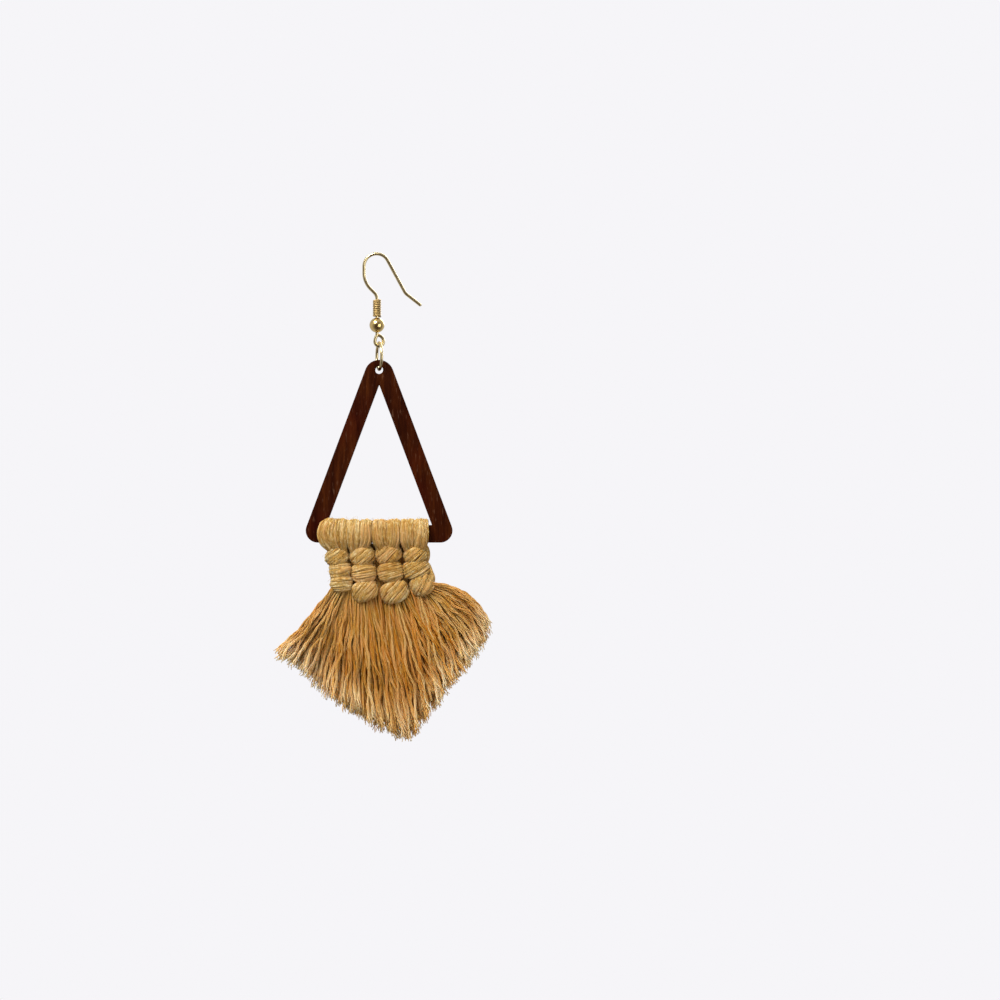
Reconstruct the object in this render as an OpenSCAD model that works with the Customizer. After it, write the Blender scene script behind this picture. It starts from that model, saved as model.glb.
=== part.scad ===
// Macrame drop earring. A fish-hook ear wire with a coil and a ball carries a jump ring and a pierced
// wooden triangle. Four cotton cords are hung on the triangle's bar with lark's head knots, hitched
// three times each, and combed out into a fan-shaped fringe with a slanted cut.
// Millimetres. +Z is up, -Y is the front, and the origin is where the wire's bow sits in the ear.

/* [Ear wire] */
// Diameter of the ear wire
wire_d = 0.64; // [0.5:0.02:0.76]
// Radius of the bow over the ear, to the middle of the wire
bow_r = 2.5; // [2.2:0.1:4]
// Straight run of the wire in front of the ear
front_run = 1.4; // [0.6:0.1:4]
// Radius of the bend below the front run
throat_r = 4.4; // [3:0.1:6]
// Slant of the neck between the bow and the shank, in degrees
neck_slant = 45; // [30:1:55]
// Straight run of the slanted neck
neck_run = 1.1; // [0.4:0.1:2.5]
// Radius of the bend from the neck to the shank
neck_r = 1.8; // [1.2:0.1:3]
// Straight back leg behind the ear
back_leg = 7.1; // [5:0.1:12]
// Slant of the back leg, in degrees
back_slant = 28.5; // [15:0.5:35]
// Radius of the bend where the tip flares out
flare_r = 2; // [1.2:0.1:4]
// Slant of the flared tip, in degrees
tip_slant = 52; // [40:1:65]
// Straight tip, which a stopper slides over
tip_l = 3.3; // [2.5:0.1:5]

/* [Coil and ball] */
// Length of the coil on the shank
coil_l = 3.7; // [2.5:0.1:6]
// Diameter of the coil's thin wire
coil_wire = 0.42; // [0.28:0.02:0.5]
// Diameter of the ball
ball_d = 3; // [2.4:0.1:4]
// Clearance round the wire inside the coil and the ball
thread_gap = 0.05; // [0.03:0.01:0.1]

/* [Eye and jump ring] */
// Radius of the eye's round bottom, to the middle of the wire
eye_r = 0.86; // [0.8:0.02:1.4]
// Radius of the eye's long cheek
cheek_r = 2.2; // [1.8:0.1:3.5]
// Turn of the long cheek, in degrees
cheek_turn = 30; // [24:1:40]
// Outer diameter of the jump ring
ring_od = 6; // [5.6:0.1:8]
// Diameter of the jump ring's wire
ring_wire = 0.6; // [0.5:0.02:0.66]
// Turn of the jump ring out of the side view, in degrees
ring_turn = 12; // [0:1:14]
// Width of the cut in the jump ring
ring_cut = 0.08; // [0.05:0.01:0.2]
// Play between the eye and the jump ring
link_gap = 0.08; // [0.05:0.01:0.12]

/* [Wooden triangle] */
// Width over the rounded corners
frame_w = 29.3; // [27:0.1:40]
// Height over the rounded corners
frame_h = 36.5; // [32:0.5:50]
// Thickness of the wood
frame_t = 2.2; // [1.8:0.1:2.4]
// Width of the two long sides
side_w = 3.6; // [3:0.1:4.2]
// Height of the bar that carries the cords
bar_h = 3.5; // [2.8:0.1:4.5]
// Corner radius at the top
apex_r = 2.9; // [2.4:0.1:3.4]
// Corner radius at the two feet
foot_r = 2.4; // [1.6:0.1:3]
// Diameter of the hole for the jump ring
hole_d = 1.6; // [1.6:0.05:1.9]
// Wood left above the hole
hole_rim = 1.2; // [1:0.1:1.6]

/* [Knotted cords] */
// Width of the four lark's heads, seen from the front
knots_w = 22.2; // [20.5:0.1:23]
// Shift of the knots to the left of the triangle's middle
knots_shift = 1.3; // [1.2:0.05:1.4]
// Thickness of the cord where it is pulled flat over and under the bar
cord_flat = 1; // [0.8:0.05:1.3]
// Thickness of the cord on the front and the back of the bar
cord_full = 1.7; // [1.3:0.05:2.2]
// Clearance between a cord and the wood
wrap_gap = 0.12; // [0.1:0.01:0.2]
// Height of the three hitches below the lark's heads
hitches_h = 11.6; // [9:0.2:14]
// Thickness of the hitches from front to back
hitches_t = 5; // [4.4:0.1:6]
// Clearance between the knots and the fringe
fringe_gap = 0.1; // [0.06:0.01:0.2]

/* [Fringe] */
// Width of the combed fan, from tip to tip
fringe_w = 44; // [36:1:60]
// Length of the fan below the hitches' top
fringe_l = 39; // [32:1:50]
// Thickness of the fan from front to back
fringe_t = 7; // [5.5:0.5:9]
// Locks on each face of the fan
locks = 26; // [20:1:30]

/* [Hidden] */
gold = [0.83, 0.66, 0.3];
dark_wood = [0.2, 0.07, 0.04];
cotton = [0.78, 0.62, 0.38];
combed_cotton = [0.74, 0.53, 0.27];
columns = 4;

// A wire's steps are rows of [run, radius, turn]: a straight run, or an arc that turns towards +X
RUN = 0;
RADIUS = 1;
TURN = 2;
bow_steps = [[0, neck_r, -neck_slant], [neck_run, 0, 0], [0, throat_r, neck_slant], [front_run, 0, 0]];
back_steps = [[0, bow_r, 180 - back_slant], [back_leg, 0, 0], [0, flare_r, back_slant - tip_slant],
              [tip_l, 0, 0]];
// The eye's cut end comes back to the shank's side, just below the ball
close_turn = 78;
close_in = wire_d * 0.4;
cheek_out = (eye_r + cheek_r) * (1 - cos(cheek_turn));
close_r = (2 * eye_r - cheek_out - close_in) / (1 - cos(close_turn));
eye_lead = max(0.1, 0.2 + wire_d / 2 + close_r * sin(close_turn) - (eye_r + cheek_r) * sin(cheek_turn));
eye_steps = [[eye_lead, 0, 0], [0, eye_r, -cheek_turn], [0, cheek_r, cheek_turn], [0, eye_r, 180],
             [0, close_r, close_turn]];

// Where a wire ends that starts at [x, z] under a slant and follows its steps: [x, z, slant]
function wire_end(steps, at = [0, 0, 0], i = 0) =
    i == len(steps) ? at : wire_end(steps, step_end(steps[i], at), i + 1);
function step_end(s, at) =
    s[TURN] == 0 ? [at[0] + s[RUN] * sin(at[2]), at[1] + s[RUN] * cos(at[2]), at[2]]
    : let (r = s[RADIUS] * sign(s[TURN]), next = at[2] + s[TURN])
      [at[0] + r * (cos(at[2]) - cos(next)), at[1] + r * (sin(next) - sin(at[2])), next];

// The bow's top carries the wire, so the shank hangs below and beside the origin
bow_start = wire_end(bow_steps);
shank_x = -(bow_start[0] + bow_r);
shank_top = -(bow_start[1] + bow_r - wire_d / 2);
coil_in_r = wire_d / 2 + thread_gap;
coil_turn_r = coil_in_r + coil_wire / 2;
coil_pitch = coil_wire * 1.04;
ball_z = shank_top - coil_l - sqrt(ball_d * ball_d / 4 - coil_in_r * coil_in_r) - thread_gap;
eye_top = ball_z - ball_d / 2;
eye_side = wire_end([for (i = [0:2]) eye_steps[i]]);
eye_x = shank_x + eye_side[0] + eye_r;
eye_low = eye_top - eye_side[1] - eye_r;

// The jump ring hangs in the eye, and the hole's upper edge hangs on the jump ring
ring_r = (ring_od - ring_wire) / 2;
ring_z = eye_low + wire_d / 2 + link_gap + ring_wire / 2 - ring_r;
ring_in_wood = frame_t / 2 / cos(ring_turn);
ring_rise = ring_r - sqrt(ring_r * ring_r - ring_in_wood * ring_in_wood);
ring_aside = frame_t / 2 * tan(ring_turn);
hole_play = (hole_d - ring_wire) / 2 - link_gap;
hole_z = ring_z - ring_r + ring_rise - sqrt(max(0, hole_play * hole_play - ring_aside * ring_aside));

frame_x = eye_x;
frame_top = hole_z + hole_d / 2 + hole_rim;
frame_foot = frame_top - frame_h;
bar_top = frame_foot + bar_h;
apex = [0, frame_top - apex_r];
foot = [frame_w / 2 - foot_r, frame_foot + foot_r];
side_run = norm(foot - apex);
// Slant of the long sides from the vertical, which touch both corner arcs
side_slant = atan2(foot[0], apex[1] - foot[1]) - asin((apex_r - foot_r) / side_run);
side_out = [cos(side_slant), sin(side_slant)];
cut_apex = apex[1] + (apex_r - side_w) / sin(side_slant);
cut_half = (cut_apex - bar_top) * tan(side_slant);

knots_left = frame_x - knots_shift - knots_w / 2;
column_w = knots_w / columns;
wrap_top = bar_top + wrap_gap + cord_flat;
wrap_low = frame_foot - wrap_gap - cord_flat;
// The first cord squeezes in beside the wood, so it is narrower on top than on the front
squeeze = (frame_x - cut_half + (wrap_top - bar_top) * tan(side_slant) + wrap_gap - knots_left) / knots_w;

// Lark's heads: left and right edges on the front as shares of knots_w, and the rise of the top edge
EDGE_L = 0;
EDGE_R = 1;
FULL = 2;
HEADS = [[0.015, 0.27, 1.08], [0.274, 0.494, 0.94], [0.498, 0.746, 0.98], [0.75, 1, 1.04]];

// Hitches, three rows for each cord from the top down. Across and down are shares of knots_w and
// hitches_h, wide is a share of a column, tall a share of a third of the height, lean is in degrees
ACROSS = 0;
DOWN = 1;
WIDE = 2;
TALL = 3;
LEAN = 4;
HITCHES = [
    [[0.182, 0.14, 0.84, 0.84, 12], [0.2, 0.375, 0.78, 0.84, 5], [0.215, 0.6, 0.68, 0.8, -4]],
    [[0.403, 0.13, 0.87, 0.96, 12], [0.413, 0.42, 0.87, 0.96, 3], [0.424, 0.73, 0.92, 1.06, 14]],
    [[0.637, 0.1, 0.95, 1.04, 14], [0.656, 0.43, 1, 1.02, 6], [0.69, 0.77, 1.02, 1.1, 15]],
    [[0.889, 0.13, 0.92, 0.86, 12], [0.905, 0.37, 0.92, 0.92, 7], [0.945, 0.65, 0.86, 1.08, 22]]
];

// The fan: where a lock starts and ends, from left to right. Start and end are shares of fringe_w
// from the fan's left tip, drop and reach are shares of fringe_l down from the hitches' top, and bow
// is how far the lock bends upwards and out, as a share of its length
START = 0;
DROP = 1;
END = 2;
REACH = 3;
BOW = 4;
FAN = [
    [0.27, 0.235, 0.01, 0.545, 0], [0.3, 0.235, 0.07, 0.605, 0], [0.335, 0.235, 0.14, 0.655, 0],
    [0.38, 0.25, 0.235, 0.73, 0], [0.43, 0.27, 0.33, 0.83, 0], [0.48, 0.26, 0.43, 0.9, 0],
    [0.53, 0.28, 0.55, 0.98, 0], [0.575, 0.28, 0.64, 0.97, 0.01], [0.615, 0.26, 0.705, 0.86, 0.03],
    [0.65, 0.25, 0.785, 0.72, 0.05], [0.68, 0.24, 0.885, 0.6, 0.08], [0.705, 0.23, 0.95, 0.515, 0.14],
    [0.722, 0.225, 0.98, 0.43, 0.19]
];
// The fan's left tip lies this share of fringe_w to the left of the triangle's middle
fan_side = 0.475;
fan_left = frame_x - fringe_w * fan_side;

joint_d = 1.02;
joint_in = 0.03;
wire_fn = 24;
cord_sides = 8;
lock_sides = 6;

// A section through a cord is [middle, half width, half thickness], the last two as vectors
MIDDLE = 0;
HALF_W = 1;
HALF_T = 2;
// Flattens a round section's sides, so that cords that lie side by side meet along a flat
function plump(x) = sign(x) * pow(abs(x), 0.7);
function cord_section(s, sides) =
    let (first = 180 / sides)
    [for (j = [0:sides - 1]) let (a = first + 360 * j / sides)
        s[MIDDLE] + (s[HALF_W] * plump(cos(a)) + s[HALF_T] * plump(sin(a))) / plump(cos(first))];

// Sweeps a cord through its sections: a closed ring, or an open run with flat ends
module cord_sweep(sections, sides, closed = false) {
    n = len(sections);
    points = [for (s = sections) each cord_section(s, sides)];
    walls = [for (i = [0:(closed ? n - 1 : n - 2)], j = [0:sides - 1])
        let (k = (j + 1) % sides, a = i * sides, b = ((i + 1) % n) * sides)
        each [[a + j, b + j, b + k], [a + j, b + k, a + k]]];
    ends = closed ? [] : [[for (j = [0:sides - 1]) j],
                          [for (j = [sides - 1:-1:0]) (n - 1) * sides + j]];
    polyhedron(points = points, faces = concat(walls, ends), convexity = 6);
}

// Lays round wire along its steps in the XZ plane, from the origin towards +Z. Each run stops just
// short of the next, and a ball that is a hair thicker than the wire joins the two
module lay_wire(steps, d, i = 0) {
    if (i < len(steps)) {
        s = steps[i];
        next = step_end(s, [0, 0, 0]);
        trim = asin(joint_in / max(s[RADIUS], 4 * joint_in));
        sphere(d = d * joint_d, $fn = wire_fn);
        if (s[TURN] == 0)
            translate([0, 0, joint_in])
                cylinder(d = d, h = s[RUN] - 2 * joint_in, $fn = wire_fn);
        else
            translate([sign(s[TURN]) * s[RADIUS], 0, 0])
                rotate([90, 0, s[TURN] > 0 ? 180 : 0])
                    rotate([0, 0, trim])
                        rotate_extrude(angle = abs(s[TURN]) - 2 * trim, $fn = 96)
                            translate([s[RADIUS], 0])
                                circle(d = d, $fn = wire_fn);
        translate([next[0], 0, next[1]])
            rotate([0, next[2], 0])
                lay_wire(steps, d, i + 1);
    }
}

// The wire is one piece: flared tip, back leg, bow, neck, shank and eye
module ear_wire() {
    tip = wire_end(concat(bow_steps, back_steps));
    shank_l = shank_top - eye_top;
    color(gold)
        translate([shank_x, 0, shank_top]) {
            lay_wire(concat(bow_steps, back_steps), wire_d);
            translate([tip[0], 0, tip[1]]) sphere(d = wire_d * joint_d, $fn = wire_fn);
            translate([0, 0, -shank_l]) cylinder(d = wire_d, h = shank_l, $fn = wire_fn);
            translate([0, 0, -shank_l]) rotate([180, 0, 0]) lay_wire(eye_steps, wire_d);
        }
}

// A close coil of thin wire round the shank
module shank_coil() {
    steps = 12;
    coil_sides = 6;
    turns = (coil_l - coil_wire) / coil_pitch;
    rings = floor(turns * steps);
    color(gold)
        translate([shank_x, 0, shank_top - coil_l + coil_wire / 2])
            cord_sweep([for (i = [0:rings]) let (a = 360 * i / steps)
                [[coil_turn_r * cos(a), coil_turn_r * sin(a), coil_pitch * i / steps],
                 [0, 0, coil_wire / 2 * cos(30)],
                 [cos(a), sin(a), 0] * coil_wire / 2 * cos(30)]], coil_sides);
}

// A polished ball, drilled for the wire
module ball() {
    color(gold)
        translate([shank_x, 0, ball_z])
            difference() {
                sphere(d = ball_d, $fn = 48);
                translate([0, 0, -ball_d])
                    cylinder(d = wire_d + 2 * thread_gap, h = 2 * ball_d, $fn = wire_fn);
            }
}

// A jump ring, cut once, with the cut at the back above its middle
module jump_ring() {
    cut_angle = 2 * asin(ring_cut / 2 / ring_r);
    cut_at = 35;
    color(gold)
        translate([eye_x, 0, ring_z])
            rotate([90, 0, 90 + ring_turn])
                rotate([0, 0, cut_at])
                    rotate_extrude(angle = 360 - cut_angle, $fn = 96)
                        translate([ring_r, 0])
                            circle(d = ring_wire, $fn = wire_fn);
}

// A laser-cut triangle with rounded corners, a sharp triangular opening and a hole at the top
module triangle_frame() {
    on_apex = apex + side_out * apex_r;
    on_foot = foot + side_out * foot_r;
    outline = [on_apex, on_foot, [foot[0], frame_foot], [-foot[0], frame_foot],
               [-on_foot[0], on_foot[1]], [-on_apex[0], on_apex[1]]];
    color(dark_wood)
        translate([frame_x, frame_t / 2, 0])
            rotate([90, 0, 0])
                difference() {
                    union() {
                        linear_extrude(frame_t) polygon(outline);
                        translate(apex) cylinder(r = apex_r, h = frame_t, $fn = 96);
                        for (side = [-1, 1])
                            translate([side * foot[0], foot[1]])
                                cylinder(r = foot_r, h = frame_t, $fn = 96);
                    }
                    translate([0, 0, -frame_t])
                        linear_extrude(3 * frame_t)
                            polygon([[0, cut_apex], [cut_half, bar_top], [-cut_half, bar_top]]);
                    translate([0, hole_z, -frame_t])
                        cylinder(d = hole_d, h = 3 * frame_t, $fn = 48);
                }
}

// Sections round the bar, from the front upwards: [y, z, direction of the outer face, fullness]
function wrap_path(flat, full) =
    let (y = frame_t / 2 + wrap_gap, top = bar_top + wrap_gap, low = frame_foot - wrap_gap,
         mid = (top + low) / 2, in = 0.12)
    [[-y, mid, 180, full], [-y, top - in, 165, (full + flat) / 2], [-y + in, top, 110, flat],
     [y - in, top, 70, flat], [y, top - in, 15, (full + flat) / 2], [y, mid, 0, full],
     [y, low + in, -15, (full + flat) / 2], [y - in, low, -70, flat], [-y + in, low, -110, flat],
     [-y, low + in, -165, (full + flat) / 2]];

// Two legs of a lark's head, side by side, each a closed ring of cord round the bar
module lark_head(i) {
    h = HEADS[i];
    overlap = 0.14;
    for (leg = [0, 1])
        cord_sweep([for (p = wrap_path(cord_flat * h[FULL], cord_full * h[FULL]))
            let (front = cos(p[2]) < -0.9 ? 1 : 0,
                 left = knots_left + knots_w * (h[EDGE_L] + (1 - front) * max(0, squeeze - h[EDGE_L])),
                 right = knots_left + knots_w * h[EDGE_R],
                 half = (right - left) / 4 * (1 + overlap),
                 out = [0, cos(p[2]), sin(p[2])] * p[3] / 2)
            [[leg == 0 ? left + half : right - half, p[0], p[1]] + out, [-half, 0, 0], out]],
            cord_sides, closed = true);
}

// The bight of a lark's head, a loop of the same cord that lies across the back of the two legs
module bight(i) {
    h = HEADS[i];
    bight_r = cord_full * 0.55;
    left = knots_left + knots_w * max(h[EDGE_L], squeeze) + bight_r;
    right = knots_left + knots_w * h[EDGE_R] - bight_r;
    y = frame_t / 2 + wrap_gap + cord_full;
    z = (bar_top + frame_foot) / 2 - bar_h * 0.1;
    cord_sweep([for (t = [0:0.25:1])
        [[left + (right - left) * t, y, z + bight_r * 0.5 * sin(180 * t)],
         [0, bight_r * (0.55 + 0.45 * sin(180 * t)), 0],
         [0, 0, bight_r * (0.7 + 0.5 * sin(180 * t))]]], cord_sides);
}

function hitch_middle(h) =
    [knots_left + knots_w * h[ACROSS], 0, wrap_low - hitches_h * h[DOWN]];

// One hitch: the cord wraps once round the core, higher on one side than on the other
module hitch(h, grow = 0) {
    steps = 12;
    thick = hitches_t * 0.2;
    wide = column_w * h[WIDE] / 2 - thick;
    deep = hitches_t / 2 - thick;
    tall = hitches_h / 3 * h[TALL] / 2;
    translate(hitch_middle(h))
        rotate([0, -h[LEAN], 0])
            cord_sweep([for (k = [0:steps - 1]) let (a = 360 * k / steps)
                [[wide * cos(a), deep * sin(a), 0], [0, 0, tall + grow],
                 [cos(a), sin(a), 0] * (thick + grow)]], cord_sides, closed = true);
}

// The straight core that the hitches are tied round
module core(i, grow = 0) {
    rows = HITCHES[i];
    core_w = hitches_t * 0.62;
    top = [hitch_middle(rows[0])[0], 0, frame_foot - wrap_gap - core_w / 2];
    stops = [top, hitch_middle(rows[0]), hitch_middle(rows[1]), hitch_middle(rows[2])];
    links = 3;
    for (s = [0:2], k = [0:links - 1])
        hull()
            for (t = [k / links, (k + 1) / links])
                translate(stops[s] * (1 - t) + stops[s + 1] * t)
                    sphere(d = core_w + 2 * grow, $fn = 8);
}

// The room that the bar takes up, which no hitch reaches into
module bar_room() {
    translate([frame_x - frame_w / 2, -frame_t / 2 - wrap_gap, frame_foot - wrap_gap])
        cube([frame_w, frame_t + 2 * wrap_gap, bar_h + 2 * wrap_gap]);
}

// One cord: its lark's head on the bar, and its three hitches below
module knotted_cord(i) {
    color(cotton) {
        lark_head(i);
        bight(i);
        difference() {
            union() {
                core(i);
                for (h = HITCHES[i]) hitch(h);
            }
            bar_room();
        }
    }
}

// A row of the fan at any place from 0 to 1 across it
function fan_row(s) =
    let (f = s * (len(FAN) - 1), k = min(floor(f), len(FAN) - 2), t = f - k)
    FAN[k] * (1 - t) + FAN[k + 1] * t;
function fan_start(r) = [fan_left + fringe_w * r[START], 0, wrap_low - fringe_l * r[DROP]];
function fan_end(r) = [fan_left + fringe_w * r[END], 0, wrap_low - fringe_l * r[REACH]];
// A lock's line from its start to its end, bent upwards and out
function fan_line(r, t) =
    let (a = fan_start(r), b = fan_end(r), d = b - a, out = sign(d[0]) * [-d[2], 0, d[0]] * r[BOW])
    a + d * t + out * 4 * t * (1 - t);

// The closed middle of the fan, which all the locks are fused to
module fan_middle() {
    sheets = 12;
    for (s = [0:sheets - 1], part = [0, 1])
        hull()
            for (t = [part / 2, part / 2 + 0.5], e = [s / sheets, (s + 1) / sheets])
                translate(fan_line(fan_row(e), t * 0.93))
                    rotate([90, 0, 0])
                        cylinder(d = 1, h = fringe_t * (0.45 - 0.15 * t), center = true, $fn = 6);
}

// One lock of combed yarn on the front (face -1) or the back (face 1) of the fan
module lock(n, face) {
    steps = 4;
    uneven = sin(n * 137.5 + face * 61);
    r = fan_row(min(1, max(0, (n + 0.5 + 0.2 * uneven) / locks)));
    spread = norm(fan_end(fan_row(min(1, (n + 1) / locks))) - fan_end(fan_row(n / locks)));
    root_w = fringe_w * (FAN[len(FAN) - 1][START] - FAN[0][START]) / locks;
    trim = 0.97 + 0.03 * uneven;
    cord_sweep([for (k = [0:steps]) let (
        t = k / steps,
        here = fan_line(r, t * trim),
        ahead = fan_line(r, t * trim + 0.01) - here,
        along = ahead / norm(ahead),
        wide = root_w * (1 - t) + spread * t + 0.35,
        thick = fringe_t * (0.1 + 0.06 * sin(180 * min(1, t * 1.2)) - 0.02 * t),
        y = face * fringe_t * (0.2 + 0.09 * sin(180 * t) - 0.06 * t + 0.02 * uneven))
        [here + [0, y, 0], [along[2], 0, -along[0]] * wide / 2 * (k == steps ? 0.55 : 1),
         [0, thick * (k == steps ? 0.5 : 1), 0]]], lock_sides);
}

// The four cords' ends, combed out, with the knots pressed into their top
module fringe() {
    color(combed_cotton)
        difference() {
            union() {
                fan_middle();
                for (n = [0:locks - 1], face = [-1, 1]) lock(n, face);
            }
            for (i = [0:columns - 1]) {
                core(i, grow = fringe_gap);
                for (h = HITCHES[i]) hitch(h, grow = fringe_gap);
            }
        }
}

ear_wire();
shank_coil();
ball();
jump_ring();
triangle_frame();
knotted_cord(0);  // cord_1
knotted_cord(1);  // cord_2
knotted_cord(2);  // cord_3
knotted_cord(3);  // cord_4
fringe();
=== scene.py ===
# %% [markdown]
# # A macrame drop earring
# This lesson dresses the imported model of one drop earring: a gold ear wire with a coil and a ball, a
# jump ring, a dark wooden triangle, and four soft cotton cords that are knotted on the triangle's bar
# and combed out into a fan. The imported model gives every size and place, so each piece that is made
# here sits where its solid sits, in metres, with its object at the origin.

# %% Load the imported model
import bpy
import math
import random
from collections import namedtuple
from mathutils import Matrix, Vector


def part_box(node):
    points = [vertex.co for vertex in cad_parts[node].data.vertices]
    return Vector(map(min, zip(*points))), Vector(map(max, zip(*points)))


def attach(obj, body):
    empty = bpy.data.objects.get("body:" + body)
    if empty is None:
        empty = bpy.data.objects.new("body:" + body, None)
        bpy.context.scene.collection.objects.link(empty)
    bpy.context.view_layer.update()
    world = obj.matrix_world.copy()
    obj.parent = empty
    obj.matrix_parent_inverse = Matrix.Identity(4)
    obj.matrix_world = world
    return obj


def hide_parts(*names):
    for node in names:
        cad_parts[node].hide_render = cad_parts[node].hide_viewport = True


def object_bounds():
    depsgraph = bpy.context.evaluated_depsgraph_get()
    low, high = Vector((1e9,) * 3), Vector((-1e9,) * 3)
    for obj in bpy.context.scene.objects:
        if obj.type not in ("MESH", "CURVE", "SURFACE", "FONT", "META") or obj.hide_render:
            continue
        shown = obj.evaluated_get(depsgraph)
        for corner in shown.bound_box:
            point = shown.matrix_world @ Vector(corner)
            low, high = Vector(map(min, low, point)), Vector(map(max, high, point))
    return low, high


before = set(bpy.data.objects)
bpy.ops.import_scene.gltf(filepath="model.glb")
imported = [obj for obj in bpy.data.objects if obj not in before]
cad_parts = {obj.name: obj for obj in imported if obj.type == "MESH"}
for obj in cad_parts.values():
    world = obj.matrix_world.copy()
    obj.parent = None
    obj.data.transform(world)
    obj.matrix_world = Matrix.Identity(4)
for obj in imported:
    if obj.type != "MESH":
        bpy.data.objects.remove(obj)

MM = 0.001
cad_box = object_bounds()
print("packed size in mm", [round((hi - lo) / MM, 1) for lo, hi in zip(*cad_box)])

# %% [markdown]
# ## Three small helpers
# Every operator acts on all that is selected, and a freshly loaded model is selected all over. So each
# piece begins with nothing selected. A finished piece is named, given its material, its slot and the
# body that carries it, in one place, so that no piece can be left behind when a joint moves.

# %% Select, edit and finish
def only(obj):
    bpy.ops.object.select_all(action="DESELECT")
    obj.select_set(True)
    bpy.context.view_layer.objects.active = obj


def edit_all():
    bpy.ops.object.mode_set(mode="EDIT")
    bpy.ops.mesh.select_all(action="SELECT")


def finish_piece(obj, name, material, body):
    obj.name = name
    obj.data.name = name
    obj.data.materials.clear()
    obj.data.materials.append(material)
    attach(obj, body)
    print(name, len(obj.data.polygons), "faces")


# %% [markdown]
# ## The camera
# The photograph is a flat, straight-on product picture, and a long lens from the front gives the
# same view. The camera's height and sideways place put the earring where the picture has it: left of
# the middle, with the wire's bow a quarter of the way down.

# %% Place the camera
MM_PER_PIXEL = 0.2
PICTURE_PIXELS = 1000
SEAT_PIXEL = (376.5, 255.4)
LENS = 135
picture_w = MM_PER_PIXEL * PICTURE_PIXELS * MM
camera_data = bpy.data.cameras.new("camera")
camera_data.lens = LENS
camera_data.clip_start = 0.01
camera = bpy.data.objects.new("camera", camera_data)
bpy.context.scene.collection.objects.link(camera)
camera.location = (
    (PICTURE_PIXELS / 2 - SEAT_PIXEL[0]) * MM_PER_PIXEL * MM,
    -picture_w * LENS / camera_data.sensor_width,
    (SEAT_PIXEL[1] - PICTURE_PIXELS / 2) * MM_PER_PIXEL * MM,
)
camera.rotation_euler = (math.radians(90), 0, 0)
bpy.context.scene.camera = camera
print("camera at", [round(v, 3) for v in camera.location])

# %% [markdown]
# ## Node trees
# The world and every finish below are node trees. This helper adds a node, sets its plain inputs and
# links the others, so that a tree reads from top to bottom like a recipe.

# %% Node helper
BLACK = (0, 0, 0)
WHITE = (1, 1, 1)


class Recipe:
    """A node tree whose nodes are added one by one."""

    def __init__(self, tree):
        self.tree = tree

    def add(self, kind, settings=None, **inputs):
        node = self.tree.nodes.new("ShaderNode" + kind)
        for key, value in (settings or {}).items():
            setattr(node, key, value)
        for key, value in inputs.items():
            self.put(node.inputs[key.replace("_", " ")], value)
        return node

    def put(self, socket, value):
        if isinstance(value, bpy.types.NodeSocket):
            self.tree.links.new(value, socket)
        else:
            socket.default_value = value

    def math(self, operation, a, b=0.0):
        node = self.add("Math", {"operation": operation})
        self.put(node.inputs[0], a)
        self.put(node.inputs[1], b)
        return node.outputs["Value"]

    def weigh(self, *parts):
        """The sum of parts, each a value and its weight."""
        total = 0.0
        for value, weight in parts:
            total = self.math("ADD", self.math("MULTIPLY", value, weight), total)
        return total

    def noise(self, place, scale, detail, **inputs):
        return self.add("TexNoise", Vector=place, Scale=scale, Detail=detail, **inputs).outputs["Fac"]

    def remap(self, value, **limits):
        return self.add("MapRange", Value=value, **limits).outputs["Result"]

    def bump(self, height, strength, distance):
        return self.add("Bump", Height=height, Strength=strength, Distance=distance).outputs["Normal"]

    def ramp(self, factor, stops):
        node = self.add("ValToRGB", Fac=factor)
        elements = node.color_ramp.elements
        while len(elements) < len(stops):
            elements.new(0.5)
        for element, (position, colour) in zip(elements, stops):
            element.position = position
            element.color = (*colour, 1)
        return node.outputs["Color"]

    def mix(self, factor, a, b):
        """Colour a where factor is black, colour b where it is white."""
        node = self.add("Mix", {"data_type": "RGBA"})
        self.put(node.inputs["Factor"], factor)
        self.put(node.inputs["A"], a)
        self.put(node.inputs["B"], b)
        return node.outputs["Result"]


# %% [markdown]
# A finish is such a recipe for a new material. It begins with the place on the object, and ends in
# the material's shader.

# %% Finish helper
class Finish(Recipe):
    """A new material's node tree."""

    def __init__(self, name):
        self.material = bpy.data.materials.new(name)
        self.material.use_nodes = True
        self.shader = self.material.node_tree.nodes["Principled BSDF"]
        super().__init__(self.material.node_tree)
        self.place = self.add("TexCoord").outputs["Object"]

    def set(self, **inputs):
        for key, value in inputs.items():
            self.put(self.shader.inputs[key.replace("_", " ")], value)


# %% [markdown]
# ## The studio
# A white sweep and big soft lights are what such a picture is taken with. The world is the sweep, and
# it is seen in three ways. The camera sees it evenly pale. It lights the cotton and the wood more from
# above than from below. In the gold it is bright behind and all around, and dim on the camera's side,
# where the room is. That is what gives bright metal its dark middle and pale edges.

# %% Paint the sweep
SWEEP = (0.921, 0.913, 0.939, 1)
BACKDROP_WAY = (-0.25, 0.9, 0.36)
ROOM_ENDS, BACKDROP_BEGINS = 0.12, 0.55
ROOM = (0.13, 0.1, 0.08)
IN_GOLD = 0.62
SKY_WAY = (-0.38, -0.15, 0.91)
SKY = (0.8, 0.8, 0.8, 1)
FROM_BELOW, FROM_ABOVE = 0.04, 0.9
world = bpy.data.worlds.new("sweep")
bpy.context.scene.world = world
world.use_nodes = True
world.node_tree.nodes.clear()
sweep = Recipe(world.node_tree)
direction = sweep.add("TexCoord").outputs["Generated"]
ray = sweep.add("LightPath").outputs


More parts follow.
